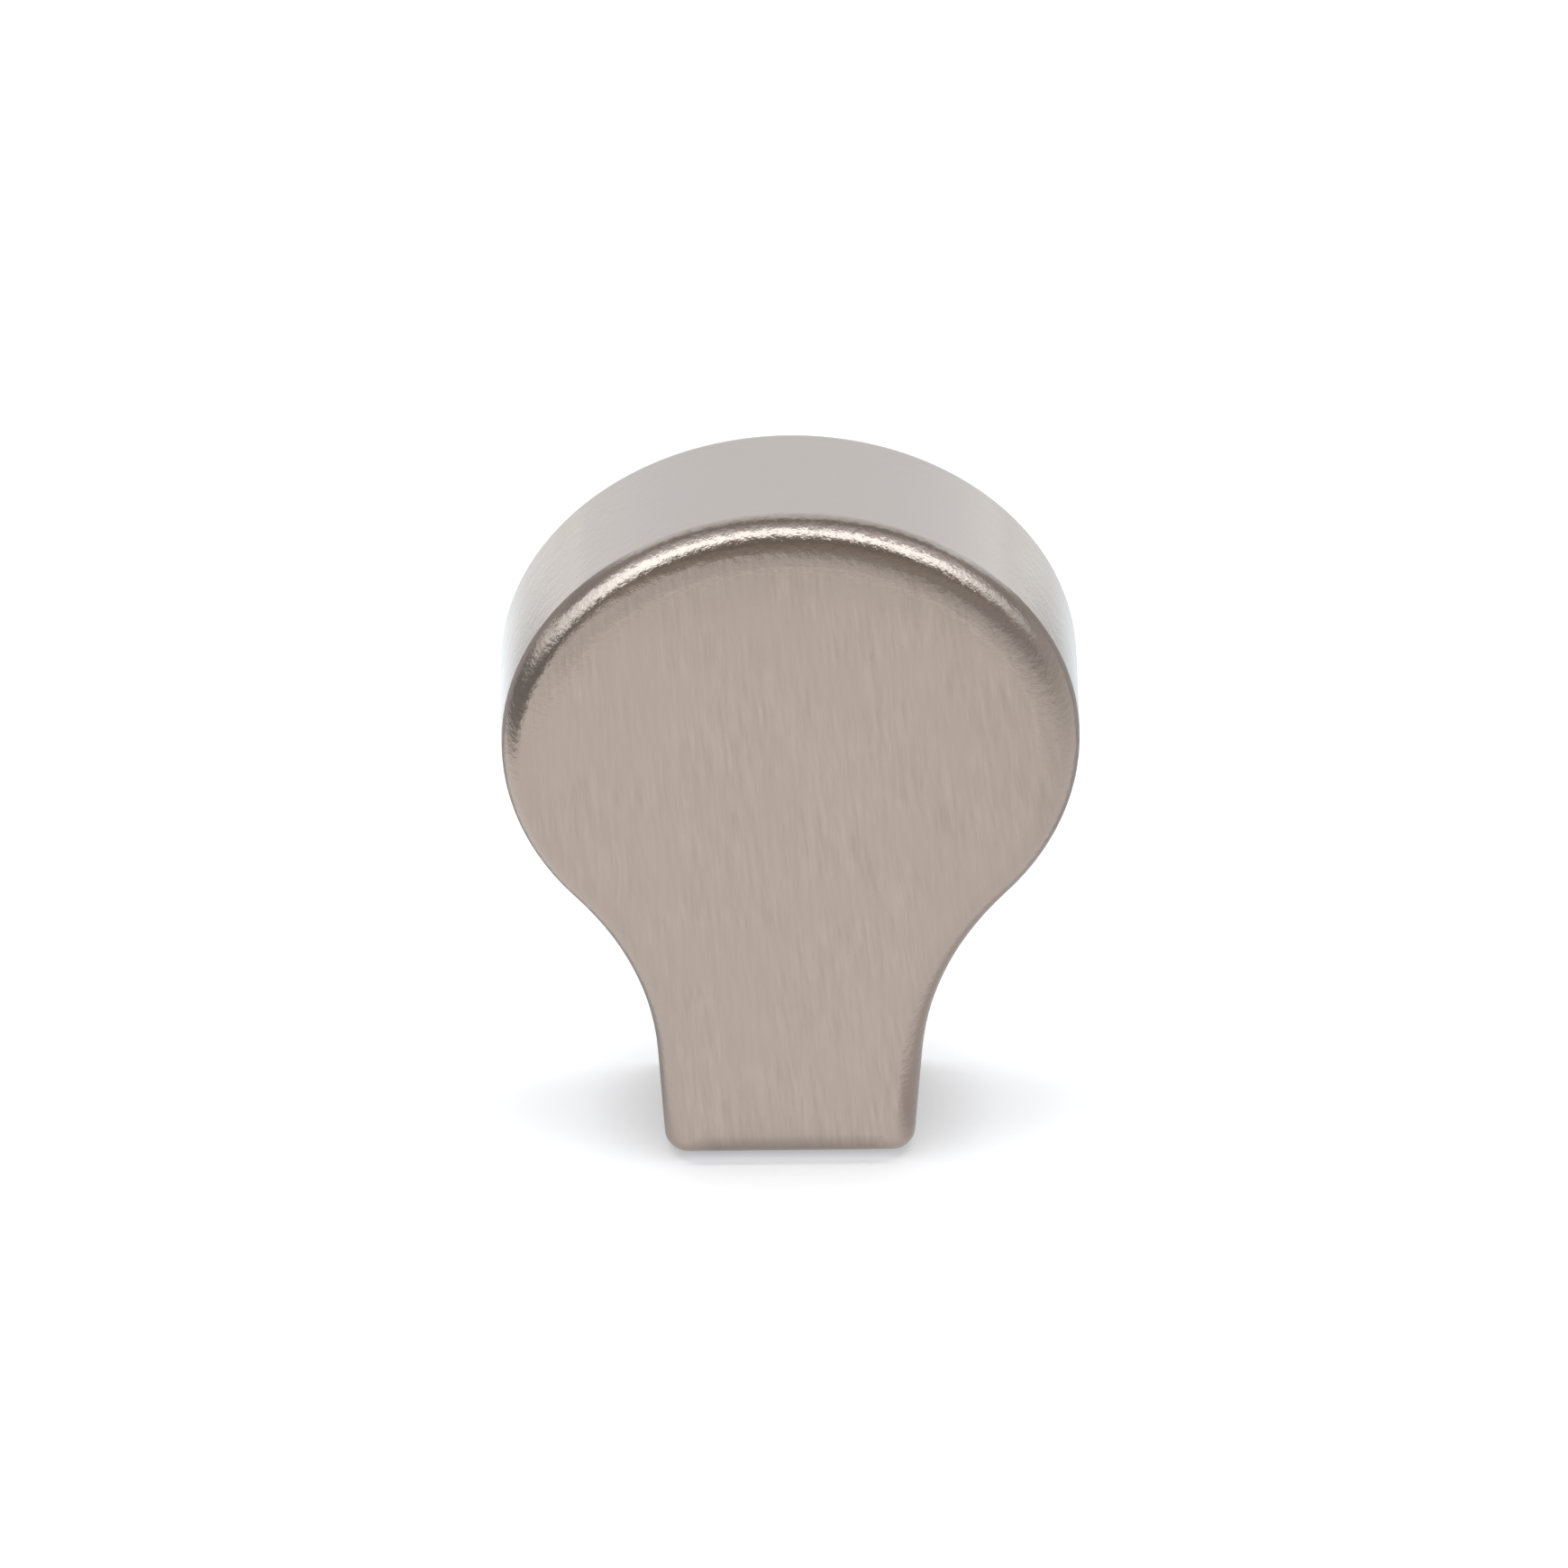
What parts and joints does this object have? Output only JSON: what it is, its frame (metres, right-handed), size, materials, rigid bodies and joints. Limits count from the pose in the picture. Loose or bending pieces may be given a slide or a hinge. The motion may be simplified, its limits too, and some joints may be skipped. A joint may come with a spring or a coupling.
{
  "type": "cabinet knob",
  "caption": "Flat cabinet knob in brushed satin nickel: a round head flows through hollow flanks into a narrow foot with a blind screw hole.",
  "frame": {"origin": "middle of the foot's underside, where the knob stands on the cabinet front", "axes": "+Z away from the cabinet front, +X across the flat face, -Y out of the flat face"},
  "size_m": [0.026, 0.0074, 0.0365],
  "materials": {
    "satin_nickel": "zinc casting, nickel plated and brushed, satin"
  },
  "bodies": {
    "root": {"knob_body": "satin_nickel"}
  },
  "joints": []
}
